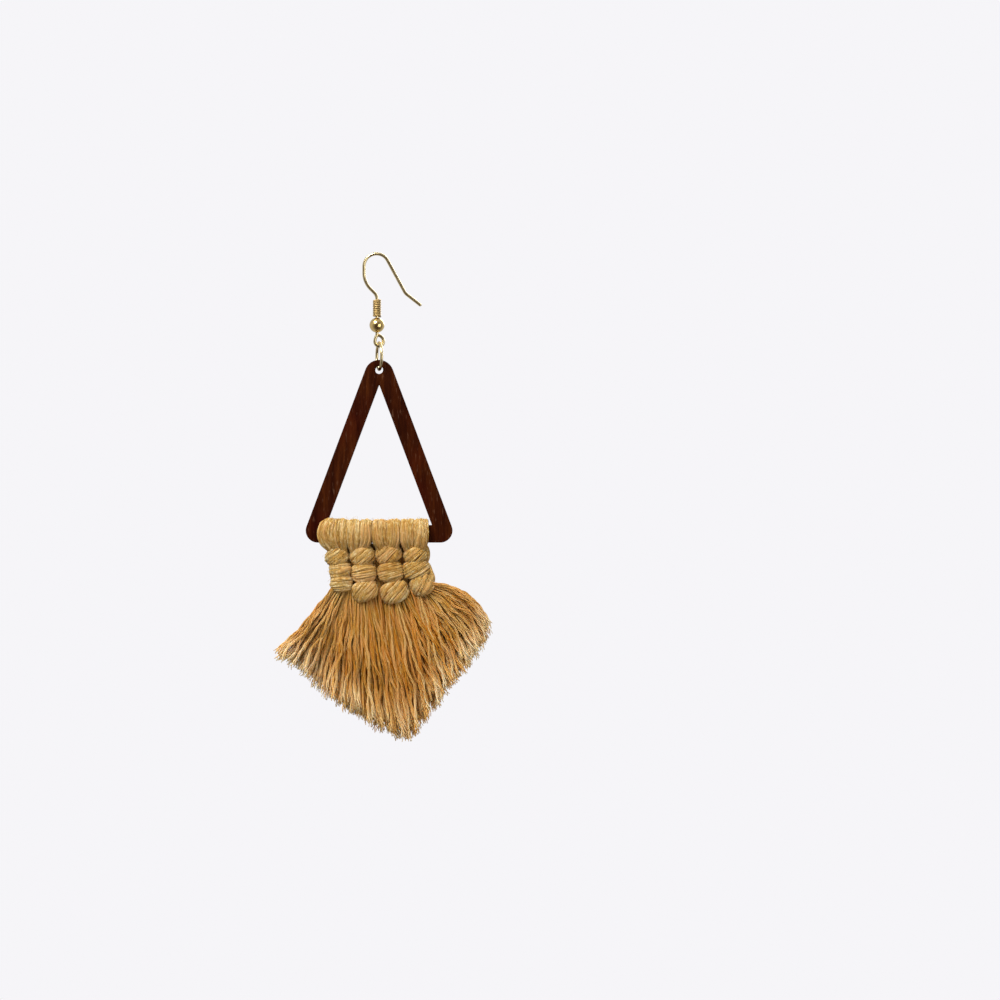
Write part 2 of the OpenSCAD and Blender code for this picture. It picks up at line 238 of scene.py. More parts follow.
def facing(way, away, along):
    """A number for each direction, from away, opposite to way, to along, the same."""
    dot = sweep.add("VectorMath", {"operation": "DOT_PRODUCT"})
    sweep.put(dot.inputs[0], direction)
    sweep.put(dot.inputs[1], way)
    return sweep.remap(dot.outputs["Value"], From_Min=-1.0, To_Min=away, To_Max=along)


def seen_by(kind_of_ray, yes, no):
    """The light yes for this kind of ray, and the light no for all others."""
    choice = sweep.add("MixShader", Fac=ray[kind_of_ray])
    sweep.put(choice.inputs[1], no)
    sweep.put(choice.inputs[2], yes)
    return choice.outputs["Shader"]


backdrop = sweep.ramp(facing(BACKDROP_WAY, 0.0, 1.0), [(ROOM_ENDS, ROOM), (BACKDROP_BEGINS, WHITE)])
mirrored = sweep.add("Background", Color=backdrop, Strength=IN_GOLD)
sky = sweep.add("Background", Color=SKY, Strength=facing(SKY_WAY, FROM_BELOW, FROM_ABOVE))
plain = sweep.add("Background", Color=SWEEP)
unseen = seen_by("Is Diffuse Ray", sky.outputs["Background"], mirrored.outputs["Background"])
sweep.add("OutputWorld", Surface=seen_by("Is Camera Ray", plain.outputs["Background"], unseen))
print("sweep of", len(world.node_tree.nodes), "nodes")

# %% [markdown]
# A key light stands high on the left, a weaker one low on the right, and one behind. They are wide,
# for soft shadows, and aimed at the knots.

# %% Hang the soft lights
KNOTS_AT = Vector((0, 0, -0.06))
# Name, place, size, watts and colour
LAMPS = [
    ("key", (-0.24, -0.38, 0.42), 0.34, 5.9, (1, 0.98, 0.95)),
    ("fill", (0.45, -0.5, -0.1), 0.5, 1.9, (0.97, 0.98, 1)),
    ("back", (0.2, 0.5, 0.2), 0.4, 2.6, (1, 1, 1)),
]
for name, spot, size, power, colour in LAMPS:
    lamp_data = bpy.data.lights.new(name, "AREA")
    lamp_data.size = size
    lamp_data.energy = power
    lamp_data.color = colour
    lamp = bpy.data.objects.new(name, lamp_data)
    lamp.location = spot
    lamp.rotation_euler = (KNOTS_AT - Vector(spot)).to_track_quat("-Z", "Y").to_euler()
    bpy.context.scene.collection.objects.link(lamp)
bpy.context.scene.view_settings.view_transform = "Standard"
print("soft lights", len(LAMPS))

# %% [markdown]
# The floor lies well below the fringe, out of the picture. It is there for the views from above, and
# it isn't part of the earring. It glows almost as brightly as the sweep, so that its far edge hardly
# shows, and only the camera sees it, so that it lights nothing from below.

# %% Lay the floor
FLOOR_BELOW = 0.4
FLOOR_SIZE = 5
FLOOR_GREY = (0.14, 0.14, 0.14, 1)
FLOOR_GLOW = 0.75
bpy.ops.mesh.primitive_plane_add(size=FLOOR_SIZE, location=(0, 0, cad_box[0][2] - FLOOR_BELOW))
floor = bpy.context.object
floor.name = "floor"
floor.visible_diffuse = False
floor.visible_glossy = False
pale = Finish("pale_floor")
pale.set(
    Base_Color=FLOOR_GREY,
    Roughness=1.0,
    Specular_IOR_Level=0.0,
    Emission_Color=SWEEP,
    Emission_Strength=FLOOR_GLOW,
)
floor.data.materials.append(pale.material)
print("floor at", round(floor.location.z, 3))

# %% [markdown]
# ## Gold-plated findings
# Stock findings are brass with a thin pale gold plating. The wire is bright but not a mirror: drawing
# leaves faint lines, and handling leaves soft spots. A fine noise that moves the roughness a little,
# and a still finer one as bump, break up the reflections. The ball is polished more than the wire.

# %% Gold finishes
TARNISH = 0.82


def gold(name, colour, roughness):
    """Plated brass of a colour: cloudy in tone and roughness, with a faint fine bump."""
    f = Finish(name)
    cloudy = f.noise(f.place, 900.0, 3.0)
    fine = f.noise(f.place, 2500.0, 1.0)
    dark = tuple(c * TARNISH for c in colour)
    f.set(
        Base_Color=f.ramp(cloudy, [(0.3, dark), (0.7, colour)]),
        Metallic=1.0,
        Roughness=f.remap(cloudy, To_Min=roughness * 0.7, To_Max=roughness * 1.5),
        Normal=f.bump(fine, 0.03, 0.02 * MM),
    )
    return f.material


wire_gold = gold("plated_wire", (0.76, 0.62, 0.34), 0.22)
coil_gold = gold("coil_wire", (0.58, 0.42, 0.18), 0.5)
ball_gold = gold("polished_ball", (0.79, 0.57, 0.23), 0.17)
for node_name, material in (("ear_wire", wire_gold), ("jump_ring", wire_gold), ("ball", ball_gold)):
    node_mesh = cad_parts[node_name].data
    node_mesh.materials.clear()
    node_mesh.materials.append(material)
print("gold on ear wire, jump ring and ball")

# %% [markdown]
# ## The coil on the shank
# A thin wire is wound close round the shank, so that the ball can't slide up. It could be a stack of
# rings, but a real coil climbs. A circle is stood on edge beside the shank, and a Screw modifier turns
# and lifts it at once, which is just how the wire is wound.

# %% Wind the coil
COIL_WIRE = 0.36 * MM
COIL_DEEP = 0.46 * MM
COIL_PROUD = 0.06 * MM
COIL_SIDES = 12
COIL_STEPS = 28
MERGE = 0.001 * MM
coil_lo, coil_hi = (Vector(c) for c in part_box("shank_coil"))
coil_mid = (coil_lo + coil_hi) / 2
coil_h = coil_hi.z - coil_lo.z
coil_turns = int((coil_h - COIL_WIRE) / COIL_WIRE)
coil_pitch = (coil_h - COIL_WIRE) / coil_turns
coil_r = (coil_hi.y - coil_lo.y) / 2 - COIL_DEEP / 2 + COIL_PROUD
bpy.ops.object.select_all(action="DESELECT")
bpy.ops.mesh.primitive_circle_add(
    vertices=COIL_SIDES, radius=COIL_WIRE / 2, fill_type="NOTHING", rotation=(math.radians(90), 0, 0)
)
coil = bpy.context.object
edit_all()
bpy.ops.transform.resize(value=(COIL_DEEP / COIL_WIRE, 1, 1))
bpy.ops.transform.translate(value=(coil_r, 0, 0))
bpy.ops.object.mode_set(mode="OBJECT")
bpy.ops.object.transform_apply(location=True, rotation=True, scale=True)
winding = coil.modifiers.new("winding", "SCREW")
winding.axis = "Z"
winding.screw_offset = coil_pitch
winding.iterations = coil_turns
winding.steps = winding.render_steps = COIL_STEPS
bpy.ops.object.modifier_apply(modifier=winding.name)
edit_all()
bpy.ops.mesh.remove_doubles(threshold=MERGE)
bpy.ops.mesh.select_non_manifold()
bpy.ops.mesh.edge_face_add()
bpy.ops.mesh.select_all(action="SELECT")
bpy.ops.mesh.normals_make_consistent(inside=False)
bpy.ops.transform.translate(value=(coil_mid.x, coil_mid.y, coil_lo.z + COIL_WIRE / 2))
bpy.ops.object.mode_set(mode="OBJECT")
bpy.ops.object.shade_smooth_by_angle(angle=math.radians(50))
finish_piece(coil, "coil", coil_gold, "wire")
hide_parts("shank_coil")
print("coil turns", coil_turns)

# %% [markdown]
# ## The wooden triangle
# The triangle is cut from thin sheet by a laser and stained dark. Its outline is already right, but a
# cut edge is never perfectly sharp, and a small rounding catches the light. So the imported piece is
# copied, its loose triangles are merged into clean faces, and a narrow bevel goes round every edge.

# %% Round the triangle's edges
EDGE_ROUND = 0.16 * MM
only(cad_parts["triangle_frame"])
bpy.ops.object.duplicate()
wood = bpy.context.object
edit_all()
bpy.ops.mesh.remove_doubles(threshold=2 * MERGE)
bpy.ops.mesh.dissolve_limited(angle_limit=math.radians(1.5))
bpy.ops.object.mode_set(mode="OBJECT")
edge = wood.modifiers.new("edge", "BEVEL")
edge.width = EDGE_ROUND
edge.segments = 3
edge.limit_method = "ANGLE"
edge.angle_limit = math.radians(40)
bpy.ops.object.modifier_apply(modifier=edge.name)
bpy.ops.object.shade_smooth_by_angle(angle=math.radians(35))
print("triangle", len(wood.data.vertices), "corners")

# %% [markdown]
# The stain is nearly black-brown. Under it run fine upright streaks, redder and lighter in places, and
# here and there a pore stands open, a short pale fleck. The streaks are a noise that is squeezed
# sideways, so that it stretches along the grain, and a slow noise bends them a little. The pores are
# another noise, of which only the highest peaks show.

# %% Stain the wood
BROWN = [(0.36, (0.011, 0.0012, 0.0002)), (0.5, (0.027, 0.0045, 0.0006)),
         (0.68, (0.06, 0.0135, 0.0018))]
RUDDY = [(0.36, (0.016, 0.0009, 0.0002)), (0.68, (0.048, 0.0065, 0.001))]
OPEN_PORE = (0.11, 0.05, 0.026, 1)
GRAIN_SQUEEZE = (1.0, 1.0, 0.09)
PORE_SQUEEZE = (1.0, 1.0, 0.2)
GRAIN_BEND = (0.0016, 0.0016, 0.0)


def stained_wood():
    f = Finish("stained_wood")
    shift = f.add("VectorMath", {"operation": "MULTIPLY_ADD"})
    f.put(shift.inputs[0], f.add("TexNoise", Vector=f.place, Scale=60.0, Detail=1.0).outputs["Color"])
    f.put(shift.inputs[1], GRAIN_BEND)
    f.put(shift.inputs[2], f.add("Mapping", Vector=f.place, Scale=GRAIN_SQUEEZE).outputs["Vector"])
    grain = shift.outputs["Vector"]
    fine = f.noise(grain, 2200.0, 3.0, Roughness=0.7)
    both = f.weigh((f.noise(grain, 420.0, 4.0, Roughness=0.6), 0.6), (fine, 0.4))
    red = f.ramp(f.noise(f.place, 95.0, 2.0), [(0.42, BLACK), (0.6, WHITE)])
    tone = f.mix(red, f.ramp(both, BROWN), f.ramp(both, RUDDY))
    short = f.add("Mapping", Vector=f.place, Scale=PORE_SQUEEZE).outputs["Vector"]
    pores = f.ramp(f.noise(short, 2600.0, 1.0), [(0.62, BLACK), (0.78, (0.5, 0.5, 0.5))])
    f.set(
        Base_Color=f.mix(pores, tone, OPEN_PORE),
        Roughness=f.remap(fine, To_Min=0.5, To_Max=0.75),
        Normal=f.bump(both, 0.35, 0.06 * MM),
        Specular_IOR_Level=0.02,
    )
    return f.material


finish_piece(wood, "wood_triangle", stained_wood(), "drop")
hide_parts("triangle_frame")

# %% [markdown]
# ## Cotton yarn
# The cord is soft single-strand cotton: a thick bundle of loosely laid yarns, each of them a bundle of
# fibres. A smooth tube would look like plastic. So every cord below is made of real yarns, each a
# thin tube, and the finish adds what is finer. Each tube carries a number of its own, its tone, so
# that no two neighbours are quite the same, and the tone also changes in streaks along it. A yarn
# inside a bundle or behind it gets a lower tone, which is painted shade, and the fan's flanks get a
# higher one, which is painted light. The fibres wind round each tube. They read its own map, which
# runs along and around every tube, and the place around is turned into a point on a circle, so that
# the pattern has no seam. Light also travels a little way inside cotton, which softens the dark lines
# between two yarns. Along a combed yarn the colour goes from dull at the neck to warmer in the fan
# and pale at its end.

# %% Cotton finishes
# Large multiples of a yarn's tone give it a place of its own in each noise
OWN_FIBRES, OWN_STREAKS, OWN_TINT = 370.0, 190.0, 7.3


def cotton(name, palettes, tint, fibre_run, streaks, vary, soft):
    """Palettes are (place along the yarn, shadow, middle, light), and tint is the odd yarn's colour.

    Fibre_run is how often the fibres wind round a yarn, streaks how often its tone changes, vary
    how much the yarns differ, and soft how far light travels inside."""
    f = Finish(name)
    own = f.add("Attribute", {"attribute_name": "tone"}).outputs["Fac"]
    along = f.add("SeparateXYZ", Vector=f.add("UVMap", {"uv_map": "UVMap"}).outputs["UV"]).outputs
    run = f.math("MULTIPLY", along["X"], fibre_run)
    turn = f.math("MULTIPLY", f.math("ADD", along["Y"], run), 2 * math.pi)
    around = f.math("ADD", f.math("SINE", turn), f.math("MULTIPLY", own, OWN_FIBRES))
    spun = f.add("CombineXYZ", X=run, Y=f.math("COSINE", turn), Z=around).outputs["Vector"]
    fibres = f.noise(spun, 2.4, 4.0, Roughness=0.65)
    lane = f.add("CombineXYZ", X=f.math("MULTIPLY", along["X"], streaks),
                 Y=f.math("MULTIPLY", own, OWN_STREAKS)).outputs["Vector"]
    patches = f.noise(f.place, 170.0, 2.0)
    texture = f.weigh((fibres, 0.45), (patches, 0.25), (f.noise(lane, 1.0, 2.0), 0.4))
    tone = f.math("ADD", f.math("MULTIPLY", f.math("SUBTRACT", own, 0.5), vary), texture)
    colour, start = None, 0.0
    for where, shadow, middle, light in palettes:
        shade = f.ramp(tone, [(0.34, shadow), (0.55, middle), (0.78, light)])
        if colour:
            shade = f.mix(f.remap(along["X"], From_Min=start, From_Max=where), colour, shade)
        colour, start = shade, where
    second = f.math("FRACT", f.math("MULTIPLY", own, OWN_TINT))
    odd = f.weigh((f.noise(f.place, 260.0, 1.0), 0.6), (second, 0.4))
    odd = f.ramp(odd, [(0.45, BLACK), (0.7, (0.55, 0.55, 0.55))])
    f.set(
        Base_Color=f.mix(odd, colour, (*tint, 1)),
        Roughness=0.85,
        Normal=f.bump(fibres, 0.7, 0.05 * MM),
        Sheen_Weight=0.015,
        Sheen_Roughness=0.4,
        Sheen_Tint=(1.0, 0.7, 0.35, 1),
        Specular_IOR_Level=0.0,
        Subsurface_Weight=0.45,
        Subsurface_Radius=(1.0, 0.85, 0.7),
        Subsurface_Scale=soft,
    )
    return f.material


# Shadow, middle and light tones
DULL = ((0.2, 0.066, 0.004), (0.44, 0.258, 0.07), (0.78, 0.65, 0.38))
NECK = ((0.23, 0.075, 0.004), (0.325, 0.163, 0.026), (0.455, 0.294, 0.1))
WARM = ((0.36, 0.114, 0.005), (0.41, 0.193, 0.029), (0.52, 0.325, 0.12))
PALE = ((0.68, 0.33, 0.06), (0.85, 0.57, 0.225), (0.94, 0.79, 0.51))
knot_cotton = cotton(
    "cord_cotton", [(0.0, *DULL)], (0.55, 0.31, 0.13),
    fibre_run=12.0, streaks=20.0, vary=0.1, soft=0.3 * MM,
)
fan_cotton = cotton(
    "combed_cotton", [(0.0, *NECK), (0.35, *WARM), (0.7, *WARM), (1.0, *PALE)], (0.52, 0.245, 0.08),
    fibre_run=24.0, streaks=18.0, vary=0.27, soft=0.16 * MM,
)
print("cotton for knots and fan")

# %% [markdown]
# ## Laying yarns along a cord
# A cord is described by a few sections along its way: its middle, and two arms that give its half
# width and its half thickness. A smooth curve joins them. It passes through every section, and a
# section that is moved changes only the stretch around it.

# %% Smooth ways through a few sections
def between(a, b, c, d, t):
    """The point between b and c on a smooth way through a, b, c and d."""
    return 0.5 * (2 * b + (c - a) * t + (2 * a - 5 * b + 4 * c - d) * t * t
                  + (3 * b - a - 3 * c + d) * t * t * t)


def smooth_way(rows, count, closed):
    """Count rows on a smooth way through rows, each row a tuple of vectors."""
    n = len(rows)
    spans = n if closed else n - 1
    way = []
    for i in range(count):
        at = spans * i / (count if closed else count - 1)
        k = min(int(at), spans - 1)
        near = [rows[j % n] if closed else rows[max(0, min(n - 1, j))] for j in range(k - 1, k + 3)]
        way.append(tuple(between(*column, at - k) for column in zip(*near)))
    return way


# %% [markdown]
# The yarns lie at even distances round the section's outline. Cords that are pressed together grow
# flat sides, so the outline is somewhere between an ellipse and a box.

# %% Places round a section
ROUNDNESS = 0.75
OUTLINE_CORNERS = 40


def rounded(angle):
    """A direction's two shares on the outline, an ellipse for roundness 1 and a box for 0."""
    c, s = math.cos(angle), math.sin(angle)
    return (math.copysign(abs(c) ** ROUNDNESS, c), math.copysign(abs(s) ** ROUNDNESS, s))


def step_at(steps, distance):
    """The number of the step in which a distance along steps ends, and how far into it."""
    k = 0
    while k < len(steps) - 1 and distance > steps[k]:
        distance -= steps[k]
        k += 1
    return k, distance


def outline_point(section, share, inset):
    """The point at a share of the way round a section, moved inwards by inset."""
    middle, wide, thick = section
    w, t = max(wide.length - inset, 1e-6), max(thick.length - inset, 1e-6)
    ring = [rounded(2 * math.pi * j / OUTLINE_CORNERS) for j in range(OUTLINE_CORNERS + 1)]
    ring = [(a * w, b * t) for a, b in ring]
    steps = [math.dist(a, b) for a, b in zip(ring, ring[1:])]
    j, rest = step_at(steps, (share % 1) * sum(steps))
    f = rest / max(steps[j], 1e-9)
    a = ring[j][0] * (1 - f) + ring[j + 1][0] * f
    b = ring[j][1] * (1 - f) + ring[j + 1][1] * f
    return middle + wide.normalized() * a + thick.normalized() * b


# %% [markdown]
# A yarn goes round the cord in a slow twist. It wanders a little to the side and in and out, because
# soft cotton is never laid perfectly, and it swells and thins. A thick bundle has fewer and fatter
# yarns inside, which only fill it. Such yarns can be painted darker than the outer ones, as painted
# shade in the gaps between them.

# %% Lay yarns round a cord
YARN_R = 0.23 * MM
UNEVEN = 0.3
SIZES = (0.8, 1.25)
SUNK = 0.85
SWELL, SWELL_RATE = 0.14, 11


def wander(rng, size, waves):
    """A gentle random wave over 0 to 1, as a function."""
    terms = [(rng.uniform(0.4, 1) * size / k, k, rng.uniform(0, 2 * math.pi)) for k in waves]
    return lambda t: sum(a * math.sin(2 * math.pi * k * t + p) for a, k, p in terms)


def laid_yarns(rng, way, count, turns, size=1.0, depth=0.0, sway=0.5, lift=0.3, dim=0.0):
    """Yarns laid round a way of sections, painted darker than usual by the last argument, as painted
    shade. Size and depth count in YARN_R.
    """
    radius = YARN_R * size
    strands = []
    for i in range(count):
        start = (i + rng.uniform(-UNEVEN, UNEVEN)) / count
        aside = wander(rng, sway / count, (1, 2, 3, 4))
        out = wander(rng, lift * radius, (1, 2, 3, 5))
        fat = radius * rng.uniform(*SIZES)
        swell = rng.uniform(0, 2 * math.pi)
        points = []
        for k, section in enumerate(way):
            t = k / (len(way) - 1)
            inset = YARN_R * depth + fat * SUNK - out(t)
            point = outline_point(section, start + aside(t) + turns * t, inset)
            points.append((point, fat * (1 + SWELL * math.sin(SWELL_RATE * t + swell))))
        # A lower tone paints the yarn darker, as painted shade
        strands.append((points, rng.random() - dim))
    return strands


def layered(rng, way, layers, **rest):
    """The yarns of all the layers of a bundle, the outermost first."""
    strands = []
    for layer in layers:
        strands += laid_yarns(rng, way, **layer, **rest)
    return strands


# %% [markdown]
# Some fibres work loose from soft cotton and give it a fuzzy edge.

# %% Loose fibres
FIBRE_R = 0.028 * MM
FIBRE_LENGTH = 0.9 * MM


def loose_fibres(rng, way, count):
    """Short fine fibres that lie on a way of sections, or stand off it a little."""
    strands = []
    for _ in range(count):
        section = way[rng.randrange(len(way))]
        root = outline_point(section, rng.random(), 0.05 * MM)
        out = (root - section[0]).normalized()
        side = Vector([rng.gauss(0, 1) for _ in range(3)])
        side = (side - out * side.dot(out)).normalized()
        reach = FIBRE_LENGTH * rng.uniform(0.4, 1.3)
        lift = rng.uniform(0.03, 0.22)
        points = []
        for k in range(4):
            t = k / 3
            point = root + (side * t + out * lift * math.sin(2.6 * t)) * reach
            points.append((point, FIBRE_R * (1 - 0.5 * t)))
        strands.append((points, rng.uniform(0.5, 1.0)))
    return strands


# %% [markdown]
# A curve object with one spline for each yarn holds a whole bundle, and its round bevel gives the
# yarns their thickness before it is made a mesh. The mesh's corners come in the order of the splines,
# so each yarn's tone can be written down for all its corners at once.

# %% Turn yarns into meshes
YARN_SIDES = 6
FIBRE_SIDES = 4


def yarn_mesh(strands, sides=YARN_SIDES):
    """One mesh of tubes from strands, each a list of (point, radius) and a tone."""
    data = bpy.data.curves.new("yarn", "CURVE")
    data.dimensions = "3D"
    data.bevel_depth = 1.0
    data.bevel_resolution = (sides - 4) // 2
    tones = []
    for points, tone in strands:
        spline = data.splines.new("POLY")
        spline.points.add(len(points) - 1)
        for corner, (point, radius) in zip(spline.points, points):
            corner.co = (*point, 1)
            corner.radius = radius
        tones += [tone] * len(points) * sides
    obj = bpy.data.objects.new("yarn", data)
    bpy.context.scene.collection.objects.link(obj)
    only(obj)
    bpy.ops.object.convert(target="MESH")
    obj = bpy.context.object
    obj.data.attributes.new("tone", "FLOAT", "POINT").data.foreach_set("value", tones)
    edit_all()
    bpy.ops.mesh.fill_holes(sides=sides)
    bpy.ops.object.mode_set(mode="OBJECT")
    bpy.ops.object.shade_smooth()
    return obj


def join_pieces(pieces):
    only(pieces[0])
    for piece in pieces[1:]:
        piece.select_set(True)
    bpy.ops.object.join()
    return pieces[0]


def cord_mesh(strands, fibres):
    return join_pieces([yarn_mesh(strands), yarn_mesh(fibres, FIBRE_SIDES)])


# %% [markdown]
# Chance decides how each yarn lies. Every piece has its own seed, so that it comes out the same each
# time, whatever happens to the others.

# %% Seeds
SEEDS = {"head": 40, "loop": 60, "hitches": 80, "core": 100, "fan": 120, "crossing": 160, "turn": 170}


def chances(piece, number):
    return random.Random(SEEDS[piece] + number)


# %% [markdown]
# ## The lark's heads
# Each cord is folded in half and hung on the bar with a lark's head whose loop lies behind, so the
# front shows two upright legs, pressed side by side. A leg comes up from the first hitch, swells over
# the front of the bar, is pulled flat over its top, and goes down behind. The sizes of the bar come
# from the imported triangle.

# %% Sizes of the bar and the knots
BAR_H = 3.5 * MM
WRAP_GAP = 0.12 * MM
CORD_FLAT = 1.0 * MM
CORD_FULL = 1.7 * MM
KNOTS_W = 22.2 * MM
KNOTS_SHIFT = 1.3 * MM
HITCHES_H = 11.6 * MM
HITCHES_T = 5.0 * MM
COLUMNS = 4
wood_lo, wood_hi = (Vector(c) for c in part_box("triangle_frame"))
bar_y = wood_hi.y + WRAP_GAP
bar_foot = wood_lo.z - WRAP_GAP
bar_top = wood_lo.z + BAR_H + WRAP_GAP
bar_mid = (bar_foot + bar_top) / 2
wrap_low = bar_foot - CORD_FLAT
knots_left = (wood_lo.x + wood_hi.x) / 2 - KNOTS_SHIFT - KNOTS_W / 2
column_w = KNOTS_W / COLUMNS
print("knots from x", round(knots_left / MM, 2), "bar top", round(bar_top / MM, 2))

# %% The way of one leg
# Edges on the front and on the top as shares of KNOTS_W, how high the legs rise over the top, and how
# far they slip aside below the bar, in mm
Head = namedtuple("Head", "left right top_left rise slip")
HEADS = [
    Head(0.012, 0.274, 0.105, 1.12, 1.0),
    Head(0.274, 0.496, 0.274, 0.92, -0.4),
    Head(0.498, 0.748, 0.498, 0.97, 0.2),
    Head(0.75, 0.998, 0.75, 1.04, -0.1),
]
LEGS_PRESSED = 1.07
SLIP_FROM = 1.0 * MM
SLIP_H = 2.2 * MM


def leg_way(head, leg):
    """Sections of one leg: up the front of the bar, over it and down behind."""
    full, flat = CORD_FULL / 2, CORD_FLAT / 2 * head.rise
    y, top = bar_y + full, bar_top + flat
    right = knots_left + KNOTS_W * head.right
    # y, z, half thickness, outward y, outward z, share of the front's place, share of the width
    table = [
        (-0.1 * y, bar_foot - 2.6 * MM, full * 0.8, -1, 0, 1, 0.45),
        (-0.56 * y, bar_foot - 1.05 * MM, full * 0.9, -1, -0.45, 1, 0.68),
        (-0.95 * y, bar_foot + 0.45 * MM, full, -1, -0.2, 1, 0.95),
        (-1.03 * y, bar_mid, full * 1.03, -1, 0, 1, 1.02),
        (-0.95 * y, bar_top - 0.55 * MM, full * 0.95, -1, 0.3, 0.85, 1.0),
        (-0.66 * y, top - 0.1 * MM, flat * 1.25, -0.7, 1, 0.4, 0.98),
        (0.0, top, flat, 0, 1, 0, 0.98),
        (0.66 * y, top - 0.1 * MM, flat * 1.25, 0.7, 1, 0, 0.98),
        (0.97 * y, bar_top - 0.5 * MM, full * 0.95, 1, 0.3, 0, 1.0),
        (y, bar_mid, full, 1, 0, 0.2, 1.0),
        (0.9 * y, bar_foot - 0.2 * MM, full, 1, -0.2, 0.5, 0.9),
        (0.5 * y, bar_foot - 2.2 * MM, full * 0.85, 1, 0, 1, 0.7),
    ]
    rows = []
    for across, z, thick, out_y, out_z, front, width in table:
        left = knots_left + KNOTS_W * (head.left * front + head.top_left * (1 - front))
        half = (right - left) / 4
        centre = (left + right) / 2 + (leg * 2 - 1) * half * width
        low = max(0.0, min(1.0, (bar_foot + SLIP_FROM - z) / SLIP_H))
        centre += low * head.slip * MM
        out = Vector((0, out_y, out_z)).normalized()
        rows.append((Vector((centre, across, z)), half * LEGS_PRESSED * width, out, thick))
    turned = []
    for k, (middle, wide, out, thick) in enumerate(rows):
        ahead = rows[min(k + 1, len(rows) - 1)][0] - rows[max(k - 1, 0)][0]
        turned.append((middle, out.cross(ahead).normalized() * wide, out * thick))
    return turned


# %% Tie the lark's heads
# The inner layer is painted darker, as painted shade between the outer yarns
LEG_LAYERS = [
    {"count": 25, "sway": 0.75, "lift": 0.6},
    {"count": 7, "size": 2.4, "depth": 0.8, "dim": 0.15},
]
LEG_FIBRES = 130


def larks_head(number, head):
    rng = chances("head", number)
    strands, fibres = [], []
    for leg in (0, 1):
        way = smooth_way(leg_way(head, leg), count=30, closed=False)
        strands += layered(rng, way, LEG_LAYERS, turns=rng.uniform(-0.06, 0.06))
        fibres += loose_fibres(rng, way, LEG_FIBRES)
    return cord_mesh(strands, fibres)


heads = [larks_head(i + 1, head) for i, head in enumerate(HEADS)]
print("lark's heads", [len(h.data.polygons) for h in heads])

# %% [markdown]
# Behind the bar the loop of the lark's head lies across both legs and holds them down. It is the same
# cord, laid in the same way, in a low arch.

# %% Lay the loops behind
# The inner layer is painted darker, as painted shade between the outer yarns
LOOP_LAYERS = [
    {"count": 20, "turns": 0.12},
    {"count": 5, "size": 2.3, "turns": 0.1, "depth": 0.8, "dim": 0.15},
]


def loop_behind(number, head):
    """A low arch from one leg to the other. Its ends sink in by shares of the cord and the bar."""
    left = knots_left + KNOTS_W * head.top_left
    right = knots_left + KNOTS_W * head.right
    r = CORD_FULL * 0.5
    y = bar_y + CORD_FULL
    rows = []
    for share in (0, 0.12, 0.3, 0.5, 0.7, 0.88, 1):
        arch = math.sin(math.pi * share)
        x = left + r * 0.7 + (right - left - r * 1.4) * share
        rows.append((
            Vector((x, y - r * 0.9 + r * 1.1 * arch, bar_mid - BAR_H * 0.25 + BAR_H * 0.22 * arch)),
            Vector((0, 0, r * 1.15)),
            Vector((0, r * (0.7 + 0.3 * arch), 0)),
        ))
    way = smooth_way(rows, count=16, closed=False)
    return yarn_mesh(layered(chances("loop", number), way, LOOP_LAYERS))


loops = [loop_behind(i + 1, head) for i, head in enumerate(HEADS)]
print("loops behind", [len(b.data.polygons) for b in loops])

# %% [markdown]
# ## The hitches
# Below the bar each cord is hitched three times round its own core. From the front a hitch is a plump
# bump: the cord comes out on the lower left, climbs round the front and goes in on the upper right.
# The cord twists as it is pulled round, so its yarns cross the bump on a slant. Each hitch is a ring
# of sections that is closed at the side of another column, where its yarns' ends don't show.

# %% The way of one hitch
# Middles as shares of KNOTS_W and HITCHES_H, sizes as shares of an even column and row, the lean in
# degrees, the yarns' turns round the cord, and the share of the height left at the hitch's two sides
Hitch = namedtuple("Hitch", "across down wide tall lean turns ends", defaults=[0.64])
HITCHES = [
    [Hitch(0.18, 0.141, 0.9, 0.94, 18, -0.7),
     Hitch(0.208, 0.377, 0.84, 0.86, 3, -0.1, ends=0.86),
     Hitch(0.22, 0.603, 0.85, 0.88, -3, -0.1, ends=0.84)],
    [Hitch(0.408, 0.134, 0.97, 1.0, 18, -0.8),
     Hitch(0.42, 0.424, 0.97, 1.02, 3, -0.15),
     Hitch(0.427, 0.731, 1.04, 1.1, 20, -1.0)],
    [Hitch(0.643, 0.095, 1.02, 1.04, 20, -0.95),
     Hitch(0.663, 0.405, 1.01, 1.06, 8, -0.3),
     Hitch(0.698, 0.752, 1.08, 1.18, 22, -1.0)],
    [Hitch(0.886, 0.12, 0.92, 0.92, 19, -0.8),
     Hitch(0.888, 0.36, 1.04, 0.98, 14, -0.5),
     Hitch(0.945, 0.632, 0.9, 1.14, 30, -0.9)],
]
HITCH_THICK = HITCHES_T * 0.21
HITCH_SECTIONS = 14


def hitch_middle(h):
    return Vector((knots_left + KNOTS_W * h.across, 0, wrap_low - HITCHES_H * h.down))


